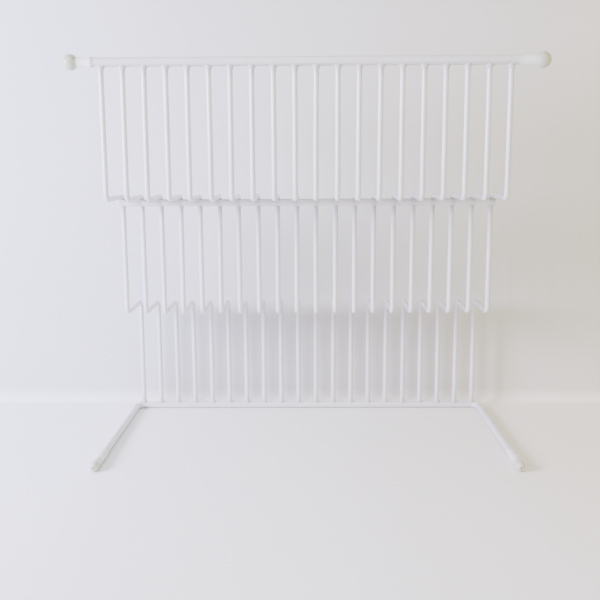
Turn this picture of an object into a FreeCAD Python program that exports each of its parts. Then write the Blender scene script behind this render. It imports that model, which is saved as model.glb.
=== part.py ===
import FreeCAD, Part
import math
import os

# Free-standing dish drying rack: twenty stepped wires welded to three rails,
# the whole dipped in white vinyl, with push-on caps on its four rod ends.
# Units are mm. +Z is up, +X runs along the rails, and the legs point to -Y.
# The origin is on the table, under the middle of the rack's outline.

V = FreeCAD.Vector

# Driving dimensions. Every rod size includes its vinyl coating.
wire_count = 20
wire_pitch = 19.0        # spacing of neighbouring wires, centre to centre
wire_r = 2.4
wire_bend_r = 7.0        # centre-line radius of a wire's four bends
riser = 116.0            # height of each of the two lower tiers
top_riser = 120.5        # height of the upper tier, up to the top rail's axis
tread = 68.0             # depth of each step

top_r = 4.3
middle_r = 3.5
base_r = 3.5
coating = 0.5            # vinyl thickness on a rail

top_rail_half = 187.5    # where the top rail's coating stops and its cap begins
middle_rail_half = 184.0
leg_x = 187.5            # distance of each leg from the middle of the rack
leg_bend_r = 9.0

ball_r = 7.4
ball_x = 207.5           # distance of each ball's centre from the middle
sleeve_r = 4.7
core_short = 3.0         # how far the top rail's core stops short of the ball's centre
bore_short = 2.5         # and the same for the bore that holds it
cap_lip = 0.5            # bevel round the sleeve's mouth
bore_clearance = 0.05

foot_reach = 193.0       # from the base rail's axis to the centre of a foot's round end
foot_r = 4.5             # round end of a foot cap, which stands on the table
foot_sleeve_r = 4.1
foot_cap_length = 40.0   # from the cap's mouth to the centre of its round end
foot_cap_taper = 3.0     # length over which the sleeve thins to its mouth
foot_cap_edge = 0.15     # thickness of the sleeve at its mouth
vent_r = 0.8
vent_depth = 2.5

web_height = 5.0         # reach of the coating's funnel along a wire from a rail
web_root = 1.0           # from a rail's axis to the funnel's wide end, inside the rail
top_web_r = 3.4
base_web_r = 2.9

bead_r = 1.9             # bead of coating left on the base rail where the rack hung to drip
bead_x = -4.0
bead_sink = 0.8          # how far the bead's centre lies under the rail's surface
seam_turn = 150          # degrees: keeps a bent rod's seam clear of the wires that meet it

# Places worked out from them.
footprint_depth = base_r + foot_reach + foot_r
rear_y = footprint_depth / 2 - base_r
tier_y = [rear_y, rear_y - tread, rear_y - 2 * tread]
tread_z = [base_r + riser, base_r + 2 * riser]
top_z = tread_z[1] + top_riser
first_wire_x = -wire_pitch * (wire_count - 1) / 2
middle_y = tier_y[1] - wire_r - middle_r
middle_z = tread_z[1] - wire_r - middle_r
# The legs rise just enough for the thicker foot caps to stand level with the base rail.
leg_rise = math.asin((foot_r - base_r) / foot_reach)


def rod_along(start, direction, length, radius):
    """A straight round rod."""
    return Part.makeCylinder(radius, length, start, direction)


def square_path(points, radius):
    """Straight runs through the points, with each square corner turned on an arc."""
    edges = []
    start = points[0]
    for before, corner, after in zip(points, points[1:], points[2:]):
        arriving = (corner - before).normalize()
        leaving = (after - corner).normalize()
        arc_start = corner - arriving * radius
        arc_end = corner + leaving * radius
        centre = arc_start + leaving * radius
        arc_middle = centre + (corner - centre).normalize() * radius
        edges.append(Part.LineSegment(start, arc_start).toShape())
        edges.append(Part.Arc(arc_start, arc_middle, arc_end).toShape())
        start = arc_end
    edges.append(Part.LineSegment(start, points[-1]).toShape())
    return Part.Wire(edges)


def bent_rod(points, bend_radius, radius):
    """A round rod bent along square_path."""
    path = square_path(points, bend_radius)
    direction = (points[1] - points[0]).normalize()
    section = Part.Wire(Part.Circle(points[0], direction, radius).toShape())
    section.rotate(points[0], direction, seam_turn)
    return path.makePipeShell([section], True, True)


def turned(profile, axis_point, axis):
    """A solid of revolution from a closed outline of points and edges."""
    return Part.Face(Part.Wire(profile)).revolve(axis_point, axis, 360)


def line(a, b):
    return Part.LineSegment(a, b).toShape()


def arc(a, middle, b):
    return Part.Arc(a, middle, b).toShape()


def make_top_rail():
    """Coated rod, with the bare steel core running on into both end caps."""
    core_half = ball_x - core_short
    coated = rod_along(V(-top_rail_half, tier_y[2], top_z), V(1, 0, 0), 2 * top_rail_half, top_r)
    core = rod_along(V(-core_half, tier_y[2], top_z), V(1, 0, 0), 2 * core_half, top_r - coating)
    return coated.fuse(core).removeSplitter()


def make_middle_rail():
    """Straight rod tucked into the corner under the upper tread, with rounded ends."""
    end_round = 1.0
    rod = rod_along(V(-middle_rail_half, middle_y, middle_z), V(1, 0, 0), 2 * middle_rail_half, middle_r)
    rims = [edge for edge in rod.Edges if edge.Closed]
    return rod.makeFillet(end_round, rims)


def make_base_frame():
    """Base rail and both legs, bent from one rod, with a small bead of coating on the rail."""
    leg_end = foot_reach - foot_r
    corners = [V(-leg_x, -leg_end, 0), V(-leg_x, 0, 0), V(leg_x, 0, 0), V(leg_x, -leg_end, 0)]
    frame = bent_rod(corners, leg_bend_r, base_r)
    frame.rotate(V(0, 0, 0), V(1, 0, 0), -math.degrees(leg_rise))
    frame.translate(V(0, rear_y, base_r))
    bead = Part.makeSphere(bead_r, V(bead_x, rear_y - base_r + bead_sink, base_r))
    return frame.fuse(bead)


def make_stepped_wire(x, top_rail, middle_rail, base_frame):
    """One wire: three risers and two treads, with a web of coating at both its ends."""
    points = [
        V(x, tier_y[0], base_r),
        V(x, tier_y[0], tread_z[0]),
        V(x, tier_y[1], tread_z[0]),
        V(x, tier_y[1], tread_z[1]),
        V(x, tier_y[2], tread_z[1]),
        V(x, tier_y[2], top_z),
    ]
    wire = bent_rod(points, wire_bend_r, wire_r)
    base_web = Part.makeCone(
        base_web_r, wire_r, base_r - web_root + web_height,
        V(x, tier_y[0], base_r + web_root), V(0, 0, 1))
    top_web = Part.makeCone(
        top_web_r, wire_r, top_r - web_root + web_height,
        V(x, tier_y[2], top_z - web_root), V(0, 0, -1))
    webbed = wire.fuse([base_web, top_web])
    welded = webbed.cut([top_rail, middle_rail, base_frame])
    # Only the stretch between the rails is kept, without the scraps beyond them.
    return max(welded.Solids, key=lambda solid: solid.Volume)


def make_top_cap(side):
    """Ball-ended cap: a sleeve over the bare core, closed by a round ball."""
    mouth = top_rail_half
    bevel_end = mouth + 2 * cap_lip
    bore_r = top_r - coating + bore_clearance
    bore_end = ball_x - bore_short
    neck_x = ball_x - math.sqrt(ball_r ** 2 - sleeve_r ** 2)
    tip_x = ball_x + ball_r
    outline = [
        line(V(mouth, 0, bore_r), V(mouth, 0, sleeve_r - cap_lip)),
        line(V(mouth, 0, sleeve_r - cap_lip), V(bevel_end, 0, sleeve_r)),
        line(V(bevel_end, 0, sleeve_r), V(neck_x, 0, sleeve_r)),
        arc(V(neck_x, 0, sleeve_r), V(ball_x, 0, ball_r), V(tip_x, 0, 0)),
        line(V(tip_x, 0, 0), V(bore_end, 0, 0)),
        line(V(bore_end, 0, 0), V(bore_end, 0, bore_r)),
        line(V(bore_end, 0, bore_r), V(mouth, 0, bore_r)),
    ]
    cap = turned(outline, V(0, 0, 0), V(1, 0, 0))
    if side < 0:
        cap.rotate(V(0, 0, 0), V(0, 0, 1), 180)
    cap.translate(V(0, tier_y[2], top_z))
    return cap


def make_foot_cap(side):
    """Round-ended push-on sleeve, with a small vent hole in its end."""
    mouth = -foot_cap_length
    bore_r = base_r + bore_clearance
    bore_end = -foot_r
    mouth_r = bore_r + foot_cap_edge
    taper_end = mouth + foot_cap_taper
    belly_x = -math.sqrt(foot_r ** 2 - foot_sleeve_r ** 2)
    outline = [
        line(V(mouth, 0, bore_r), V(mouth, 0, mouth_r)),
        line(V(mouth, 0, mouth_r), V(taper_end, 0, foot_sleeve_r)),
        line(V(taper_end, 0, foot_sleeve_r), V(belly_x, 0, foot_sleeve_r)),
        arc(V(belly_x, 0, foot_sleeve_r), V(0, 0, foot_r), V(foot_r, 0, 0)),
        line(V(foot_r, 0, 0), V(bore_end, 0, 0)),
        line(V(bore_end, 0, 0), V(bore_end, 0, bore_r)),
        line(V(bore_end, 0, bore_r), V(mouth, 0, bore_r)),
    ]
    cap = turned(outline, V(0, 0, 0), V(1, 0, 0))
    vent = rod_along(V(foot_r - vent_depth, 0, 0), V(1, 0, 0), vent_depth + 1, vent_r)
    cap = cap.cut(vent)
    cap.rotate(V(0, 0, 0), V(0, 0, 1), -90)
    cap.translate(V(side * leg_x, -foot_reach, 0))
    cap.rotate(V(0, 0, 0), V(1, 0, 0), -math.degrees(leg_rise))
    cap.translate(V(0, rear_y, base_r))
    return cap


def make_parts():
    """Every sub-part by its node name."""
    parts = {
        "top_rail": make_top_rail(),
        "middle_rail": make_middle_rail(),
        "base_frame": make_base_frame(),
    }
    rails = list(parts.values())
    for number in range(wire_count):
        x = first_wire_x + number * wire_pitch
        parts[f"wire_{number + 1:02d}"] = make_stepped_wire(x, *rails)
    for name, side in (("left", -1), ("right", 1)):
        parts[f"top_cap_{name}"] = make_top_cap(side)
        parts[f"foot_cap_{name}"] = make_foot_cap(side)
    return parts


os.makedirs("parts", exist_ok=True)
for node, shape in make_parts().items():
    shape.exportStep(f"parts/{node}.step")
    box = shape.BoundBox
    print(node, len(shape.Solids), shape.isValid(), round(shape.Volume, 1),
          [round(value, 2) for value in (box.XMin, box.XMax, box.YMin, box.YMax, box.ZMin, box.ZMax)])
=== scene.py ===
import math
import random

import bpy
from mathutils import Matrix, Vector, noise


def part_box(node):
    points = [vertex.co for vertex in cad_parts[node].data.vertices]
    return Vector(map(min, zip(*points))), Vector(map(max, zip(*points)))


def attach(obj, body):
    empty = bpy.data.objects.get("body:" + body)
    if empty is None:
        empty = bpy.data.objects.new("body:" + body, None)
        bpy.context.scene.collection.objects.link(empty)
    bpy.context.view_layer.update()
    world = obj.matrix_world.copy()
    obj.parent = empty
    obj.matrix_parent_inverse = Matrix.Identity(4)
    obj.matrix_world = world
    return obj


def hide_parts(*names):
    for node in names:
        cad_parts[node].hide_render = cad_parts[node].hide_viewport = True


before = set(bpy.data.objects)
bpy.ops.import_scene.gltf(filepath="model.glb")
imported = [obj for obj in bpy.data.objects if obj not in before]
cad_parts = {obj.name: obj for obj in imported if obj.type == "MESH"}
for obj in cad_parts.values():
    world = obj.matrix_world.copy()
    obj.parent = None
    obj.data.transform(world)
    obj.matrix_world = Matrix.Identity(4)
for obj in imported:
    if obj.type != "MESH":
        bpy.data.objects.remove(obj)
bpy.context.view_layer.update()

# The looks of a dish drying rack of vinyl-dipped wire, built around its CAD frame.
# Everything is in metres, in the frame of the CAD part: +X along the rails, the legs
# point to -Y, +Z up, origin on the table.

MM = 0.001
X = Vector((1, 0, 0))
Y = Vector((0, 1, 0))
Z = Vector((0, 0, 1))

# Sizes that the CAD boxes don't give.
WIRE_R = 2.4 * MM
WIRE_BEND_R = 7.0 * MM
BASE_R = 3.5 * MM
LEG_BEND_R = 9.0 * MM
BALL_SLEEVE_R = 4.7 * MM
FOOT_SLEEVE_R = 4.1 * MM
FOOT_CAP_LENGTH = 40 * MM      # from the cap's mouth to the centre of its round end
VENT_R = 0.8 * MM
VENT_DEPTH = 2.5 * MM

# The dip coating: a funnel of it at every weld, and a bead of it on the base rail.
WEB_HEIGHT = 5.0 * MM          # how far a funnel reaches along its wire
WEB_DEPTH = 0.5 * MM           # how far its edge runs on inside the rail
WEB_FLARE = 2.6                # how suddenly it opens out, where 1 is a straight cone
FOOT_WEB_WIDTH = (3.2, 3.7)    # its reach along the base rail, least and most, in mm
FOOT_WEB_DEEP = 2.9 * MM       # its reach across the base rail
HEAD_WEB_WIDTH = (3.5, 4.2)    # and the same under the top rail
HEAD_WEB_DEEP = 3.4 * MM
BEAD_X = -4 * MM
BEAD_DROP = 0.8 * MM           # how far the bead hangs below the rail's middle
BEAD_SPREAD = 1.7 * MM
BEAD_SWELL = 1.0 * MM

# What is a little different on every wire, in mm either way.
WIRE_LEAN = 0.35
WIRE_BOW = 0.25

# The ridge that a two-part mould leaves along a cap.
RIDGE_HEIGHT = 0.07 * MM
RIDGE_WIDTH = 0.09             # as a share of the radius
RIDGE_FADES = 2 * MM           # radius under which it dies away

# Fineness of the meshes.
RING_STEP = 4.0 * MM           # spacing of the rings along a straight stretch of rod
ROD_SIDES = 24
RAIL_SIDES = 32
CAP_SIDES = 48
BEND_STEPS = 9


def box_centre(node):
    low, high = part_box(node)
    return (low + high) / 2


def box_radius(node):
    """Radius of a rod that lies along X."""
    low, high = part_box(node)
    return (high.z - low.z) / 2


# Places, from the frame.
top_axis = box_centre("top_rail")
top_r = box_radius("top_rail")
middle_axis = box_centre("middle_rail")
middle_r = box_radius("middle_rail")
base_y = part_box("base_frame")[1].y - BASE_R
leg_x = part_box("base_frame")[1].x - BASE_R
step_corner_y = middle_axis.y + middle_r + WIRE_R
upper_tread_z = middle_axis.z + middle_r + WIRE_R
lower_tread_z = BASE_R + (upper_tread_z - BASE_R) / 2
wire_nodes = sorted(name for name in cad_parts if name.startswith("wire_"))
wire_x = {node: box_centre(node).x for node in wire_nodes}
first_wire_x = min(wire_x.values())
wire_pitch = (max(wire_x.values()) - first_wire_x) / (len(wire_x) - 1)
chance = random.Random(20)


# ---------------------------------------------------------------- mesh building

def ring_at(centre, across, upward, radius_across, radius_upward, sides):
    """A ring of points round centre, an ellipse across by upward."""
    ring = []
    for k in range(sides):
        turn = 2 * math.pi * k / sides
        sideways = across * (radius_across * math.cos(turn))
        ring.append(centre + sideways + upward * (radius_upward * math.sin(turn)))
    return ring


def skin(name, rings, material, marks=None):
    """A closed smooth mesh over rings of equal count, with a flat fan over each end ring.
    marks maps an attribute's name to a function of a point, for the material to read."""
    sides = len(rings[0])
    points = [point for ring in rings for point in ring]
    faces = []
    last = (len(rings) - 1) * sides
    for first in range(0, last, sides):
        above = first + sides
        for k in range(sides):
            after = (k + 1) % sides
            faces.append((first + k, first + after, above + after, above + k))
    for ring, first in ((rings[0], 0), (rings[-1], last)):
        hub = len(points)
        points.append(sum(ring, Vector()) / sides)
        for k in range(sides):
            after = (k + 1) % sides
            turned = (first + after, first + k) if first == 0 else (first + k, first + after)
            faces.append((hub, *turned))
    mesh = bpy.data.meshes.new(name)
    mesh.from_pydata([tuple(point) for point in points], [], faces)
    mesh.shade_smooth()
    for mark, value in (marks or {}).items():
        attribute = mesh.attributes.new(mark, "FLOAT", "POINT")
        attribute.data.foreach_set("value", [value(point) for point in points])
    mesh.materials.append(material)
    piece = bpy.data.objects.new(name, mesh)
    bpy.context.scene.collection.objects.link(piece)
    return piece


def rounded_path(corners, bend_r, step):
    """(point, direction) pairs along straight runs joined by quarter-circle bends."""
    samples = []

    def straight(start, end):
        run = end - start
        count = max(1, round(run.length / step))
        for k in range(count):
            samples.append((start + run * (k / count), run.normalized()))

    start = corners[0]
    for before, corner, after in zip(corners, corners[1:], corners[2:]):
        arriving = (corner - before).normalized()
        leaving = (after - corner).normalized()
        bend_start = corner - arriving * bend_r
        centre = bend_start + leaving * bend_r
        straight(start, bend_start)
        for k in range(BEND_STEPS):
            turn = math.pi / 2 * k / BEND_STEPS
            point = centre - leaving * (bend_r * math.cos(turn)) + arriving * (bend_r * math.sin(turn))
            samples.append((point, arriving * math.cos(turn) + leaving * math.sin(turn)))
        start = corner + leaving * bend_r
    straight(start, corners[-1])
    samples.append((corners[-1], (corners[-1] - corners[-2]).normalized()))
    return samples


def thinning(point, grain, amount):
    """How much thinner the dip is at a point, from 0 to amount, drifting over grain metres."""
    return amount * (0.5 + 0.5 * noise.noise(point / grain))


def rod_rings(samples, side, radius, uneven=0.05 * MM, sides=ROD_SIDES):
    """Rings of a dipped rod along samples. side is square to the path's plane."""
    rings = []
    for point, direction in samples:
        ring = []
        outward = direction.cross(side)
        for spot in ring_at(point, side, outward, radius, radius, sides):
            thin = thinning(spot, 9 * MM, uneven)
            ring.append(spot - (spot - point).normalized() * thin)
        rings.append(ring)
    return rings


def end_dome(centre, outward, across, radius, length, sides, steps=5):
    """Rings that round off the end of a rod, from its full radius to a small tip."""
    upward = outward.cross(across)
    unrounded = 0.4      # share of a step left at the tip, so that the last ring isn't a point
    rings = []
    for k in range(1, steps + 1):
        turn = math.pi / 2 * k / (steps + unrounded)
        size = radius - length + length * math.cos(turn)
        hub = centre + outward * (length * math.sin(turn))
        rings.append(ring_at(hub, across, upward, size, size, sides))
    return rings


def ring_flip(ring):
    """The same ring, walked the other way from the same first point."""
    return [ring[0]] + ring[:0:-1]


def rail_rings(axis, half, radius, end_round, uneven, sides):
    """Rings of a straight dipped rod along X, rounded off at both ends."""
    left = axis - X * (half - end_round)
    right = axis + X * (half - end_round)
    rings = [ring_flip(ring) for ring in end_dome(left, -X, Z, radius, end_round, sides)[::-1]]
    rings += rod_rings(rounded_path([left, right], 0, RING_STEP), Z, radius, uneven, sides)
    rings += end_dome(right, X, Z, radius, end_round, sides)
    return rings


# ---------------------------------------------------------------- materials

class Paint:
    """Short calls for building one material's nodes."""

    def __init__(self, name):
        self.material = bpy.data.materials.new(name)
        self.material.use_nodes = True
        self.nodes = self.material.node_tree.nodes
        self.links = self.material.node_tree.links
        self.shader = self.nodes["Principled BSDF"]
        self.place = self.nodes.new("ShaderNodeTexCoord").outputs["Object"]

    def noise(self, size, detail=3.0, roughness=0.5):
        """Noise from 0 to 1 whose features are about size metres."""
        node = self.nodes.new("ShaderNodeTexNoise")
        node.inputs["Scale"].default_value = 1 / size
        node.inputs["Detail"].default_value = detail
        node.inputs["Roughness"].default_value = roughness
        self.links.new(self.place, node.inputs["Vector"])
        return node.outputs["Fac"]

    def along(self, axis):
        """The coordinate X, Y or Z, in metres."""
        node = self.nodes.new("ShaderNodeSeparateXYZ")
        self.links.new(self.place, node.inputs[0])
        return node.outputs[axis]

    def mark(self, name):
        node = self.nodes.new("ShaderNodeAttribute")
        node.attribute_name = name
        return node.outputs["Fac"]

    def between(self, value, low, high, to_low=0.0, to_high=1.0):
        """value from low..high to to_low..to_high, held at the ends."""
        node = self.nodes.new("ShaderNodeMapRange")
        node.inputs["From Min"].default_value = low
        node.inputs["From Max"].default_value = high
        node.inputs["To Min"].default_value = to_low
        node.inputs["To Max"].default_value = to_high
        self.links.new(value, node.inputs["Value"])
        return node.outputs["Result"]

    def maths(self, operation, a, b):
        node = self.nodes.new("ShaderNodeMath")
        node.operation = operation
        for socket, value in zip(node.inputs, (a, b)):
            if isinstance(value, (int, float)):
                socket.default_value = value
            else:
                self.links.new(value, socket)
        return node.outputs[0]

    def mix(self, share, a, b):
        """Colour a where share is 0 and colour b where it is 1."""
        node = self.nodes.new("ShaderNodeMix")
        node.data_type = "RGBA"
        self.links.new(share, node.inputs[0])
        for socket, value in ((node.inputs[6], a), (node.inputs[7], b)):
            if isinstance(value, tuple):
                socket.default_value = (*value, 1)
            else:
                self.links.new(value, socket)
        return node.outputs[2]

    def bump(self, height, depth, strength=1.0, under=None):
        node = self.nodes.new("ShaderNodeBump")
        node.inputs["Distance"].default_value = depth
        node.inputs["Strength"].default_value = strength
        self.links.new(height, node.inputs["Height"])
        if under is not None:
            self.links.new(under, node.inputs["Normal"])
        return node.outputs["Normal"]

    def colour(self, value):
        self.links.new(value, self.shader.inputs["Base Color"])

    def roughness(self, value):
        self.links.new(value, self.shader.inputs["Roughness"])

    def normal(self, value):
        self.links.new(value, self.shader.inputs["Normal"])

    def fix(self, **values):
        """Sets sockets that are the same all over, by their names with _ for a space."""
        for name, value in values.items():
            self.shader.inputs[name.replace("_", " ")].default_value = value


def coating_material():
    """White vinyl dip: semi-gloss, a little wavy, dulled by dishes, greyed by dirt at the welds, and
    darkened by painted shade under the top rail, on the wire tops below it and along the table.
    """
    shaded_white, bright_white = (0.675, 0.67, 0.695), (0.715, 0.71, 0.725)
    aged_white, mottled_white = (0.66, 0.66, 0.67), (0.645, 0.645, 0.66)
    # The darkest grey here serves both real dirt and painted shade.
    scuffed_white, soil_and_shade_grey = (0.58, 0.58, 0.59), (0.44, 0.43, 0.41)
    paint = Paint("white_vinyl_dip")
    drift = paint.between(paint.noise(40 * MM), 0.35, 0.65)
    tone = paint.mix(drift, shaded_white, bright_white)
    tone = paint.mix(paint.between(paint.mark("tone"), 0, 1, 0, 0.5), tone, aged_white)
    mottle = paint.between(paint.noise(2.2 * MM, 4), 0.45, 0.75, 0, 0.35)
    tone = paint.mix(mottle, tone, mottled_white)
    patchy = paint.between(paint.noise(1.6 * MM, 5), 0.3, 0.7, 0.45, 0.9)
    # This mask mixes in real dirt at the welds and painted shade under the top rail, on the wire tops
    # below it and along the table.
    soil_and_shade = paint.maths("MULTIPLY", paint.mark("soil_and_shade"), patchy)
    tone = paint.mix(soil_and_shade, tone, soil_and_shade_grey)
    scuffs = paint.between(paint.noise(0.7 * MM, 6, 0.65), 0.52, 0.66)
    wear = paint.maths("MULTIPLY", paint.mark("wear"), scuffs)
    tone = paint.mix(paint.maths("MULTIPLY", wear, 0.4), tone, scuffed_white)
    specks = paint.between(paint.noise(0.35 * MM, 2), 0.71, 0.76, 0, 0.45)
    paint.colour(paint.mix(specks, tone, soil_and_shade_grey))
    gloss = paint.between(paint.noise(12 * MM, 4), 0.3, 0.7, 0.26, 0.40)
    paint.roughness(paint.maths("ADD", gloss, paint.maths("MULTIPLY", wear, 0.25)))
    waves = paint.bump(paint.noise(5 * MM, 2), 0.25 * MM, 0.5)
    peel = paint.bump(paint.noise(0.9 * MM, 3), 0.05 * MM, 0.5, waves)
    paint.normal(paint.bump(scuffs, 0.02 * MM, 0.25, peel))
    paint.fix(Coat_Weight=0.4, Coat_Roughness=0.14, Subsurface_Weight=0.06, Subsurface_Scale=0.8 * MM)
    return paint.material


def cap_material(name, fresh, aged, solid, scuffed):
    """Moulded off-white vinyl, yellower where a cap's end is solid than on its thin sleeve."""
    paint = Paint(name)
    drift = paint.between(paint.noise(7 * MM, 3), 0.35, 0.65)
    tone = paint.mix(drift, fresh, aged)
    tone = paint.mix(paint.mark("solid"), tone, solid)
    patchy = paint.between(paint.noise(1.2 * MM, 5), 0.3, 0.7, 0.2, 0.9)
    soil_and_shade = paint.maths("MULTIPLY", paint.mark("soil_and_shade"), patchy)
    tone = paint.mix(soil_and_shade, tone, scuffed)
    scuffs = paint.between(paint.noise(0.6 * MM, 6, 0.65), 0.52, 0.64)
    wear = paint.maths("MULTIPLY", paint.mark("wear"), scuffs)
    paint.colour(paint.mix(paint.maths("MULTIPLY", wear, 0.5), tone, scuffed))
    gloss = paint.between(paint.noise(4 * MM, 4), 0.3, 0.7, 0.20, 0.34)
    paint.roughness(paint.maths("ADD", gloss, paint.maths("MULTIPLY", wear, 0.3)))
    waves = paint.bump(paint.noise(4 * MM, 2), 0.15 * MM, 0.4)
    paint.normal(paint.bump(scuffs, 0.02 * MM, 0.3, waves))
    paint.fix(Coat_Weight=0.25, Coat_Roughness=0.1, Subsurface_Weight=0.25, Subsurface_Scale=2.0 * MM)
    return paint.material


def cool_and_warm(brightness):
    """Two tints of the same brightness."""
    cool = (0.94 * brightness, brightness, 1.06 * brightness)
    warm = (1.06 * brightness, brightness, 0.94 * brightness)
    return cool, warm


def paper_material(name, low_brightness, brightness):
    """Pale matt studio paper with a faint grain, and a painted tint of light: cooler on the left, warmer
    on the right.
    Its brightness passes from the first to the second over its lowest 15 mm."""
    paint = Paint(name)
    cloud = paint.between(paint.noise(180 * MM, 3), 0.35, 0.65, -0.08, 0.08)
    # Painted tint of light: the drift along X turns the paper from cool on the left to warm on the right.
    share = paint.maths("ADD", cloud, paint.between(paint.along("X"), -0.32, 0.32))
    low = paint.mix(share, *cool_and_warm(low_brightness))
    high = paint.mix(share, *cool_and_warm(brightness))
    rise = paint.between(paint.along("Z"), MM, 15 * MM)
    paint.colour(paint.mix(rise, low, high))
    paint.roughness(paint.between(paint.noise(30 * MM, 4), 0.3, 0.7, 0.62, 0.74))
    paint.normal(paint.bump(paint.noise(1.1 * MM, 4), 0.06 * MM, 0.3))
    paint.fix(Specular_IOR_Level=0.25)
    return paint


def see_through_from_behind(paint):
    """Leaves a wall's face but not its back, so that it never hides what stands before it."""
    output = paint.nodes["Material Output"]
    clear = paint.nodes.new("ShaderNodeBsdfTransparent")
    side = paint.nodes.new("ShaderNodeNewGeometry").outputs["Backfacing"]
    choice = paint.nodes.new("ShaderNodeMixShader")
    paint.links.new(side, choice.inputs[0])
    paint.links.new(paint.shader.outputs[0], choice.inputs[1])
    paint.links.new(clear.outputs[0], choice.inputs[2])
    paint.links.new(choice.outputs[0], output.inputs["Surface"])


coating = coating_material()
ball_vinyl = cap_material(
    "ball_cap_vinyl",
    fresh=(0.88, 0.91, 0.93), aged=(0.85, 0.875, 0.87),
    solid=(0.49, 0.54, 0.42), scuffed=(0.46, 0.48, 0.40))
foot_vinyl = cap_material(
    "foot_cap_vinyl",
    fresh=(0.78, 0.79, 0.78), aged=(0.76, 0.76, 0.72),
    solid=(0.60, 0.61, 0.47), scuffed=(0.40, 0.39, 0.34))


# ---------------------------------------------------------------- the rack

def smooth_step(value):
    value = min(1.0, max(0.0, value))
    return value * value * (3 - 2 * value)


def near_line(point, y, z, reach):
    """1 on the line along X at y, z, falling to 0 at reach."""
    return smooth_step(1 - math.hypot(point.y - y, point.z - z) / reach)


def wire_soil_and_shade(point):
    """Dirt gathers where a wire meets a rail; under the top rail the darkening is also painted shade, the
    rail's shadow on the wire's top.
    """
    return max(
        near_line(point, base_y, BASE_R, 12 * MM),
        near_line(point, middle_axis.y, middle_axis.z, 17 * MM),
        # Near the top rail this is painted shadow of the rail as well as dirt.
        near_line(point, top_axis.y, top_axis.z, 19 * MM),
    )


def wire_wear(point):
    """Dishes rub the tops of the treads and the faces of the risers just above them."""
    rubbed_height = 60 * MM
    worn = 0.0
    for back_y, front_y, z in (
            (base_y, step_corner_y, lower_tread_z), (step_corner_y, top_axis.y, upper_tread_z)):
        rise = point.z - z
        if front_y < point.y < back_y and rise < 2 * WIRE_R:
            worn = max(worn, smooth_step(rise / WIRE_R))
        if front_y < point.y < front_y + 2 * WIRE_R and rise > 0:
            worn = max(worn, 0.6 * smooth_step(1 - rise / rubbed_height))
    return worn


def funnel(x, axis, rail_r, upward, wide, deep):
    """Rings of the coating's funnel where a wire at x meets the rail on axis, from inside the
    rail out to the plain wire. wide is its reach along the rail and deep its reach across it."""
    plain_z = axis.z + upward * (rail_r + WEB_HEIGHT)
    rings = []
    steps = 7
    for k in range(-1, steps + 1):
        share = max(0, k) / steps
        flare = (1 - share) ** WEB_FLARE
        across = WIRE_R + (wide - WIRE_R) * flare
        along = WIRE_R + (deep - WIRE_R) * flare
        ring = []
        for spot in ring_at(Vector((x, axis.y, 0)), X, Y, across, along, ROD_SIDES):
            rail_height = math.sqrt(rail_r ** 2 - (deep * (spot.y - axis.y) / along) ** 2)
            rail_z = axis.z + upward * (rail_height - (WEB_DEPTH if k < 0 else 0))
            ring.append(Vector((spot.x, spot.y, rail_z + (plain_z - rail_z) * share)))
        rings.append(ring)
    return rings


def make_wire(node):
    """One stepped wire with its two funnels, each wire swaying a little its own way."""
    x = wire_x[node]
    base_axis = Vector((x, base_y, BASE_R))
    lean = chance.uniform(-WIRE_LEAN, WIRE_LEAN) * MM
    bow = chance.uniform(-WIRE_BOW, WIRE_BOW) * MM
    start = Vector((x, base_y, 2 * BASE_R + WEB_HEIGHT))
    end = Vector((x, top_axis.y, top_axis.z - top_r - WEB_HEIGHT))
    corners = [
        start,
        Vector((x, base_y, lower_tread_z)),
        Vector((x, step_corner_y, lower_tread_z)),
        Vector((x, step_corner_y, upper_tread_z)),
        Vector((x, top_axis.y, upper_tread_z)),
        end,
    ]
    foot = funnel(x, base_axis, BASE_R, 1, chance.uniform(*FOOT_WEB_WIDTH) * MM, FOOT_WEB_DEEP)
    head = funnel(x, top_axis, top_r, -1, chance.uniform(*HEAD_WEB_WIDTH) * MM, HEAD_WEB_DEEP)
    rod = rod_rings(rounded_path(corners, WIRE_BEND_R, RING_STEP), X, WIRE_R)
    rings = foot + rod[1:-1] + head[::-1]
    for ring in rings:
        height = sum(point.z for point in ring) / len(ring) / top_axis.z
        sway = lean * math.sin(math.pi * height) + bow * math.sin(2 * math.pi * height)
        for point in ring:
            point.x += sway
    tone = chance.random()
    marks = {"soil_and_shade": wire_soil_and_shade, "wear": wire_wear, "tone": lambda p: tone}
    return skin(f"vinyl_{node}", rings, coating, marks)


def make_top_rail():
    """The rail's coating, which ends in a small rounded edge at each cap's mouth."""
    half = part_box("top_cap_right")[0].x
    axis = Vector((0, top_axis.y, top_axis.z))
    rings = rail_rings(axis, half, top_r, end_round=0.3 * MM, uneven=0.09 * MM, sides=RAIL_SIDES)

    def soil_and_shade(point):
        by_cap = 0.5 * smooth_step(1 - (half - abs(point.x)) / (3 * MM))
        # Dirt next to each cap; the darker underside of the rail is painted shade.
        return max(by_cap, 0.75 * smooth_step((top_axis.z - point.z) / top_r + 0.1))

    def wear(point):
        return 0.7 * smooth_step((point.z - top_axis.z) / top_r)

    return skin("vinyl_top_rail", rings, coating, {"soil_and_shade": soil_and_shade, "wear": wear})


def make_middle_rail():
    """The rail, with rounded ends."""
    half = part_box("middle_rail")[1].x
    axis = Vector((0, middle_axis.y, middle_axis.z))
    rings = rail_rings(axis, half, middle_r, end_round=1.2 * MM, uneven=0.07 * MM, sides=ROD_SIDES)

    def soil_and_shade(point):
        wires_along = (point.x - first_wire_x) / wire_pitch
        from_wire = abs(wires_along - round(wires_along)) * wire_pitch
        return 0.8 * smooth_step(1 - from_wire / (4 * MM))

    return skin("vinyl_middle_rail", rings, coating, {"soil_and_shade": soil_and_shade, "wear": lambda p: 0.2})


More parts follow.
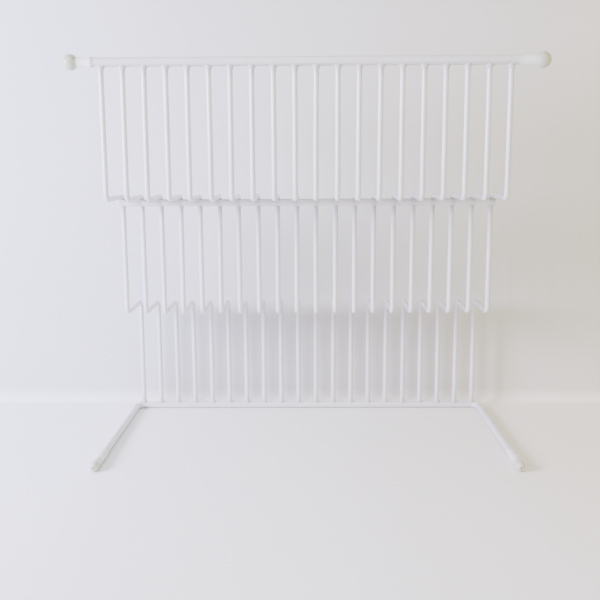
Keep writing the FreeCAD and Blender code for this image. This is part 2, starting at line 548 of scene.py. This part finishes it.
def make_base_frame():
    """Base rail and legs: one bent rod, with a bead of coating near the middle of the rail."""
    foot_low, foot_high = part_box("foot_cap_right")
    leg_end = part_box("base_frame")[0].y
    foot_rise = (foot_low.z + foot_high.z) / 2 - BASE_R
    foot_r = (foot_high.z - foot_low.z) / 2
    foot_y = foot_low.y + foot_r
    slope = Vector((0, foot_y - base_y, foot_rise)).normalized()
    reach = base_y - leg_end
    back = Vector((0, base_y, BASE_R))
    corners = [
        back - X * leg_x + slope * reach,
        back - X * leg_x,
        back + X * leg_x,
        back + X * leg_x + slope * reach,
    ]
    side = slope.cross(X).normalized()
    path = rounded_path(corners, LEG_BEND_R, RING_STEP / 2)
    rings = rod_rings(path, side, BASE_R, 0.07 * MM, RAIL_SIDES)
    bead = back + X * BEAD_X - Y * BASE_R - Z * BEAD_DROP
    for ring in rings:
        hub = sum(ring, Vector()) / len(ring)
        for point in ring:
            swell = math.exp(-((point - bead).length / BEAD_SPREAD) ** 2)
            point += (point - hub).normalized() * (BEAD_SWELL * swell)
            point.z = max(point.z, 0.0)

    def soil_and_shade(point):
        """Painted contact shade along the table, which reaches higher on the legs than on the rail."""
        on_leg = smooth_step((base_y - BASE_R - point.y) / (12 * MM))
        height = (2.6 + 2.4 * on_leg) * MM
        return smooth_step(1 - point.z / height)

    def wear(point):
        return 0.5 * smooth_step((point.z - BASE_R) / BASE_R)

    return skin("vinyl_base_frame", rings, coating, {"soil_and_shade": soil_and_shade, "wear": wear})


def turned_cap(name, profile, material, origin, axis, marks):
    """A moulded cap: profile lists (distance along axis, radius), skinned round the axis,
    with the fine parting ridge that its two-part mould leaves."""
    # Every cap's axis is level to within half a degree, so Z serves as square to it.
    sideways = axis.cross(Z)
    rings = []
    for along, radius in profile:
        faded = RIDGE_HEIGHT * min(1, radius / RIDGE_FADES)
        ring = []
        for k in range(CAP_SIDES):
            turn = -2 * math.pi * k / CAP_SIDES
            ridge = faded * math.exp(-(math.sin(turn) / RIDGE_WIDTH) ** 2)
            size = radius + ridge - RIDGE_HEIGHT
            outward = Z * math.sin(turn) + sideways * math.cos(turn)
            ring.append(origin + axis * along + outward * size)
        rings.append(ring)
    return skin(name, rings, material, marks)


def arc_points(centre, radius, start, end, steps):
    """(along, radius) points of an arc about (centre, 0), by angle from the axis, in degrees."""
    points = []
    for k in range(steps + 1):
        turn = math.radians(start + (end - start) * k / steps)
        points.append((centre + radius * math.cos(turn), radius * math.sin(turn)))
    return points


def make_top_cap(node, side):
    """Sleeve and ball pushed over the top rail's end."""
    low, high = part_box(node)
    ball_r = (high.z - low.z) / 2
    mouth = low.x if side > 0 else -high.x
    tip = high.x if side > 0 else -low.x
    ball_x = tip - ball_r
    sleeve_r = BALL_SLEEVE_R
    bore_r = top_r - 0.6 * MM
    neck = math.degrees(math.asin(sleeve_r / ball_r))
    neck_fillet = 1.1 * MM
    neck_x = ball_x - ball_r * math.cos(math.radians(neck))
    # From inside the bore round the lip, along the slightly waisted sleeve and into the ball.
    profile = [
        (mouth + 3 * MM, bore_r),
        (mouth + 0.1 * MM, bore_r),
        (mouth, bore_r + 0.3 * MM),
        (mouth, sleeve_r - 0.35 * MM),
        (mouth + 0.15 * MM, sleeve_r - 0.12 * MM),
        (mouth + 0.5 * MM, sleeve_r + 0.08 * MM),
        (mouth + 1.4 * MM, sleeve_r + 0.05 * MM),
        (mouth + 3.0 * MM, sleeve_r - 0.02 * MM),
        (mouth + 6.0 * MM, sleeve_r - 0.05 * MM),
        (neck_x - neck_fillet, sleeve_r),
        (neck_x - neck_fillet * 0.4, sleeve_r + 0.15 * MM),
    ]
    profile += arc_points(ball_x, ball_r, 180 - neck - 6, 1.5, 28)

    def soil_and_shade(point):
        along = side * point.x
        at_mouth = smooth_step(1 - (along - mouth) / (2.5 * MM))
        at_neck = smooth_step(1 - abs(along - neck_x) / (2 * MM))
        return max(at_mouth, 0.6 * at_neck)

    def wear(point):
        return 0.8 * smooth_step((side * point.x - ball_x) / ball_r)

    def solid(point):
        return smooth_step((side * point.x - neck_x) / (3 * MM) + 0.7)

    origin = Vector((0, top_axis.y, top_axis.z))
    marks = {"soil_and_shade": soil_and_shade, "wear": wear, "solid": solid}
    return turned_cap(f"ball_{node}", profile, ball_vinyl, origin, X * side, marks)


def make_foot_cap(node, side):
    """Round-ended sleeve pushed over a leg's end, with a vent hole in its tip."""
    low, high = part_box(node)
    foot_r = (high.z - low.z) / 2
    centre = Vector((side * leg_x, low.y + foot_r, foot_r))
    slope = (centre - Vector((side * leg_x, base_y, BASE_R))).normalized()
    sleeve_r = FOOT_SLEEVE_R
    rim = math.degrees(math.asin((VENT_R + 0.25 * MM) / foot_r))
    belly = math.degrees(math.asin(sleeve_r / foot_r))
    mouth = -FOOT_CAP_LENGTH
    # From inside the bore round the thin lip, along the sleeve, round the end and into the vent.
    profile = [
        (mouth + 2 * MM, BASE_R - 0.2 * MM),
        (mouth, BASE_R - 0.1 * MM),
        (mouth, BASE_R + 0.22 * MM),
        (mouth + 0.4 * MM, BASE_R + 0.38 * MM),
        (mouth + 3 * MM, sleeve_r - 0.05 * MM),
        (mouth + 12 * MM, sleeve_r),
        (mouth + 26 * MM, sleeve_r),
    ]
    profile += arc_points(0, foot_r, 180 - belly, rim, 22)
    tip = foot_r * math.cos(math.radians(rim))
    profile += [
        (tip + 0.02 * MM, VENT_R + 0.12 * MM),
        (tip - 0.1 * MM, VENT_R),
        (tip - VENT_DEPTH, VENT_R * 0.9),
        (tip - VENT_DEPTH, VENT_R * 0.3),
    ]

    def along(point):
        return (point - centre).dot(slope)

    def soil_and_shade(point):
        radius = (point - centre - slope * along(point)).length
        in_vent = smooth_step(1 - (radius - VENT_R) / (0.5 * MM)) * (along(point) > 0)
        at_mouth = smooth_step(1 - (along(point) - mouth) / (3 * MM))
        at_table = smooth_step(1 - point.z / (3 * MM))
        return max(in_vent, at_mouth, 0.4 * at_table)

    def wear(point):
        return smooth_step(along(point) / foot_r + 0.6)

    def solid(point):
        return smooth_step(along(point) / foot_r + 1.4)

    marks = {"soil_and_shade": soil_and_shade, "wear": wear, "solid": solid}
    return turned_cap(f"round_{node}", profile, foot_vinyl, centre, slope, marks)


def place(piece, node, slot):
    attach(piece, "root")
    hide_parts(node)


for node in wire_nodes:
    place(make_wire(node), node, "coated_rod")
place(make_top_rail(), "top_rail", "coated_rod")
place(make_middle_rail(), "middle_rail", "coated_rod")
place(make_base_frame(), "base_frame", "coated_rod")
for word, side in (("left", -1), ("right", 1)):
    place(make_top_cap(f"top_cap_{word}", side), f"top_cap_{word}", "ball_cap")
    place(make_foot_cap(f"foot_cap_{word}", side), f"foot_cap_{word}", "foot_cap")


# ---------------------------------------------------------------- studio

def stage_sheet(name, outline, half_width, paint):
    """A wide sheet of paper over an outline of (y, z) points, facing the object."""
    points = []
    for y, z in outline:
        points.append((-half_width, y, z))
        points.append((half_width, y, z))
    faces = [(2 * k, 2 * k + 1, 2 * k + 3, 2 * k + 2) for k in range(len(outline) - 1)]
    mesh = bpy.data.meshes.new(name)
    mesh.from_pydata(points, [], faces)
    mesh.shade_smooth()
    mesh.materials.append(paint.material)
    sheet = bpy.data.objects.new(name, mesh)
    bpy.context.scene.collection.objects.link(sheet)


def make_studio():
    """A pale floor, and a wall of slightly darker paper whose foot curves out onto it."""
    floor_brightness, wall_brightness = 0.92, 0.675
    floor_paint = paper_material("studio_floor", floor_brightness, floor_brightness)
    wall_paint = paper_material("studio_wall", floor_brightness, wall_brightness)
    see_through_from_behind(wall_paint)
    half_width = 3.0
    stage_sheet("floor", [(-half_width, 0.0), (half_width, 0.0)], half_width, floor_paint)
    wall_y = base_y + 25 * MM
    wall_height = 1.6
    fold_r = 8 * MM
    fold_steps = 8
    paper = 0.05 * MM
    outline = []
    for k in range(fold_steps + 1):
        turn = math.pi / 2 * k / fold_steps
        y = wall_y - fold_r + fold_r * math.sin(turn)
        z = paper + fold_r - fold_r * math.cos(turn)
        outline.append((y, z))
    outline.append((wall_y, wall_height))
    stage_sheet("wall", outline, half_width, wall_paint)


def area_light(name, place, size, power, colour):
    """A square lamp that points at the rack's lower tier."""
    aim = Vector((0.0, 0.1, 0.12))
    data = bpy.data.lights.new(name, "AREA")
    data.shape = "SQUARE"
    data.size = size
    data.energy = power
    data.color = colour
    light = bpy.data.objects.new(name, data)
    light.location = place
    light.rotation_euler = (aim - Vector(place)).to_track_quat("-Z", "Y").to_euler()
    bpy.context.scene.collection.objects.link(light)


def make_lights():
    """A cool window low on the left, and two weaker warm lamps in front and on the right."""
    world = bpy.data.worlds.new("studio_air")
    bpy.context.scene.world = world
    world.use_nodes = True
    sky = world.node_tree.nodes["Background"]
    sky.inputs["Color"].default_value = (1.0, 0.98, 0.88, 1)
    sky.inputs["Strength"].default_value = 0.15
    area_light("window", (-0.95, -0.55, 0.45), size=0.4, power=46, colour=(0.785, 0.735, 1.0))
    area_light("ceiling_lamp", (0.0, -1.0, 1.4), size=0.8, power=15, colour=(1.0, 0.85, 0.75))
    area_light("far_lamp", (1.2, -0.9, 0.8), size=0.8, power=12.5, colour=(0.9, 1.0, 0.4))


def make_camera():
    """In front of the rack, a little right of its middle, looking slightly down."""
    viewpoint = (4.4 * MM, -801.8 * MM, 271.9 * MM)
    yaw = math.radians(-0.77)
    pitch = math.radians(9.56)
    roll = math.radians(-0.28)
    forward = Vector((math.sin(yaw) * math.cos(pitch), math.cos(yaw) * math.cos(pitch), -math.sin(pitch)))
    level = Vector((math.cos(yaw), -math.sin(yaw), 0))
    upright = level.cross(forward)
    right = level * math.cos(roll) + upright * math.sin(roll)
    up = upright * math.cos(roll) - level * math.sin(roll)
    data = bpy.data.cameras.new("camera")
    data.sensor_width = 36.0
    data.lens = 50.52
    camera = bpy.data.objects.new("camera", data)
    turn = Matrix((right, up, -forward)).transposed()
    camera.matrix_world = Matrix.Translation(viewpoint) @ turn.to_4x4()
    bpy.context.scene.collection.objects.link(camera)
    bpy.context.scene.camera = camera


make_studio()
make_lights()
make_camera()
